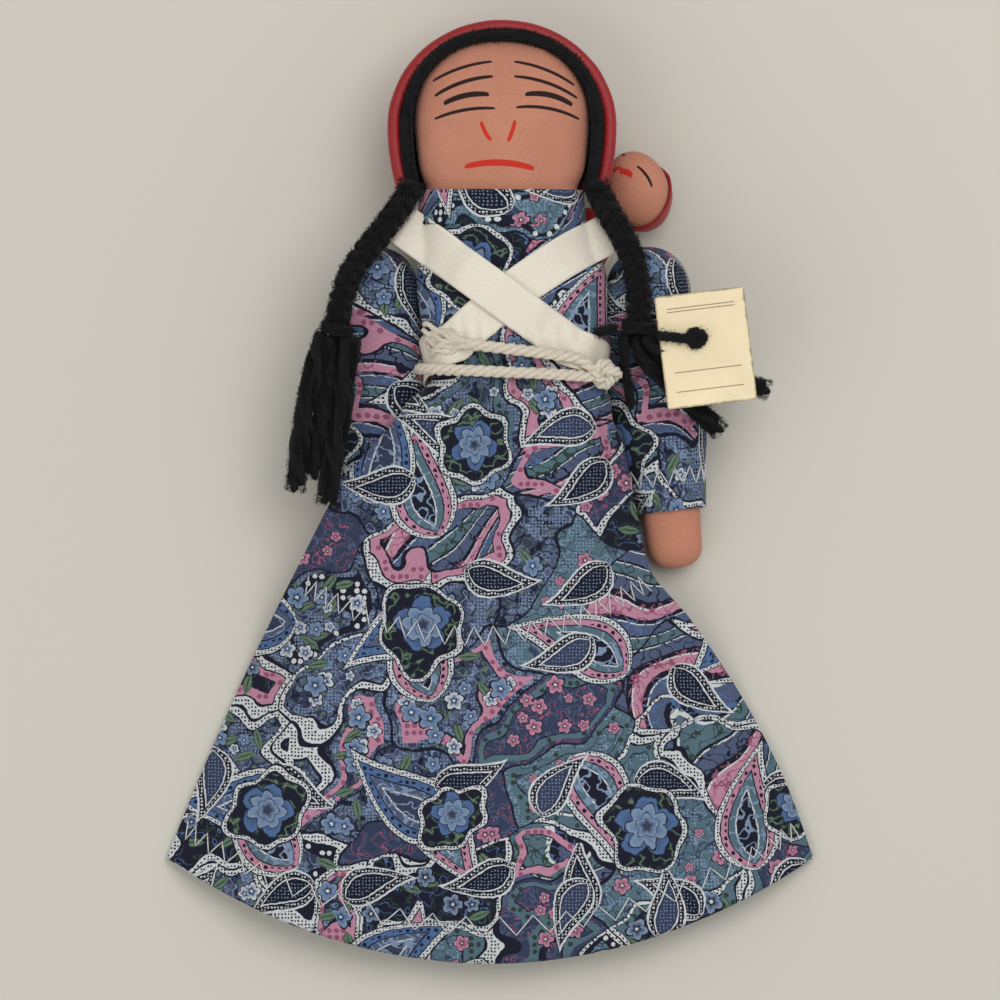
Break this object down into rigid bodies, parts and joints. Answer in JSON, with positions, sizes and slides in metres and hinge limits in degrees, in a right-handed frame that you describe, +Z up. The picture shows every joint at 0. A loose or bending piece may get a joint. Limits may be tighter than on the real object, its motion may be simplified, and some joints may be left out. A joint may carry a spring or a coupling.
{
  "type": "rag doll",
  "caption": "Stuffed cloth doll lying on its back, in a hood and a long flared print dress, with yarn braids, crossed ribbon straps, a cord belt and a baby on its back.",
  "frame": {"origin": "centre of the footprint, on the surface that the doll lies on", "axes": "+X to the doll's own left side, +Y towards its head, +Z up out of its chest"},
  "size_m": [0.2016, 0.2907, 0.0484],
  "materials": {
    "skin_cotton": "matt plain-weave cotton, terracotta tan",
    "filling": "loose cotton fibre",
    "printed_cotton": "matt printed cotton, slate blue with small paisley and flowers",
    "red_cotton": "cotton with a slight sheen, brick red",
    "black_yarn": "matt wool yarn",
    "white_ribbon": "cotton ribbon with a soft sheen",
    "cotton_cord": "matt twisted cotton cord, ecru",
    "paper": "matt cream paper card with worn edges"
  },
  "bodies": {
    "torso": {"torso_cloth": "skin_cotton", "torso_filling": "filling", "collar": "printed_cotton", "dress_front": "printed_cotton", "dress_back": "printed_cotton", "strap_under": "white_ribbon", "strap_over": "white_ribbon", "belt_loop": "cotton_cord", "belt_end": "cotton_cord", "belt_knot": "cotton_cord", "belt_fray": "cotton_cord", "baby_body": "red_cotton", "baby_head": "skin_cotton", "baby_hood": "red_cotton", "carrier": "white_ribbon"},
    "head": {"head_cloth": "skin_cotton", "head_filling": "filling", "hood": "red_cotton", "hair_roll": "black_yarn", "hair_mat": "black_yarn"},
    "left_arm": {"left_arm_cloth": "skin_cotton", "left_arm_filling": "filling", "left_sleeve": "printed_cotton"},
    "right_arm": {"right_arm_cloth": "skin_cotton", "right_arm_filling": "filling", "right_sleeve": "printed_cotton"},
    "left_leg": {"left_leg_cloth": "skin_cotton", "left_leg_filling": "filling"},
    "right_leg": {"right_leg_cloth": "skin_cotton", "right_leg_filling": "filling"},
    "left_braid": {"left_braid": "black_yarn", "left_tie": "black_yarn", "left_tail_1": "black_yarn", "left_tail_2": "black_yarn", "tie_end_1": "black_yarn", "tie_end_2": "black_yarn"},
    "right_braid": {"right_braid": "black_yarn", "right_tie": "black_yarn", "right_tail_1": "black_yarn", "right_tail_2": "black_yarn", "right_tail_3": "black_yarn"},
    "tag": {"paper_tag": "paper", "tag_loop": "black_yarn"}
  },
  "joints": [
    {"name": "neck_nod", "type": "hinge", "parent": "torso", "child": "head", "pos_m": [0.0037, 0.093, 0.0287], "axis": [1, 0, 0], "range_deg": [-10, 12]},
    {"name": "left_shoulder", "type": "hinge", "parent": "torso", "child": "left_arm", "pos_m": [0.049, 0.064, 0.024], "axis": [0, 0, 1], "range_deg": [0, 60]},
    {"name": "right_shoulder", "type": "hinge", "parent": "torso", "child": "right_arm", "pos_m": [-0.0352, 0.064, 0.024], "axis": [0, 0, -1], "range_deg": [0, 60]},
    {"name": "left_hip", "type": "hinge", "parent": "torso", "child": "left_leg", "pos_m": [0.0195, -0.004, 0.022], "axis": [0, 0, 1], "range_deg": [0, 8]},
    {"name": "right_hip", "type": "hinge", "parent": "torso", "child": "right_leg", "pos_m": [-0.0075, -0.004, 0.022], "axis": [0, 0, -1], "range_deg": [0, 8]},
    {"name": "left_braid_lift", "type": "hinge", "parent": "torso", "child": "left_braid", "pos_m": [0.0334, 0.0935, 0.0382], "axis": [-0.9561, -0.293, 0], "range_deg": [0, 60]},
    {"name": "right_braid_lift", "type": "hinge", "parent": "torso", "child": "right_braid", "pos_m": [-0.025, 0.0935, 0.0381], "axis": [-0.866, 0.5, 0], "range_deg": [0, 60]},
    {"name": "tag_flip", "type": "hinge", "parent": "left_braid", "child": "tag", "pos_m": [0.0506, 0.0496, 0.0404], "axis": [0.1219, -0.9925, 0], "range_deg": [0, 70]}
  ]
}
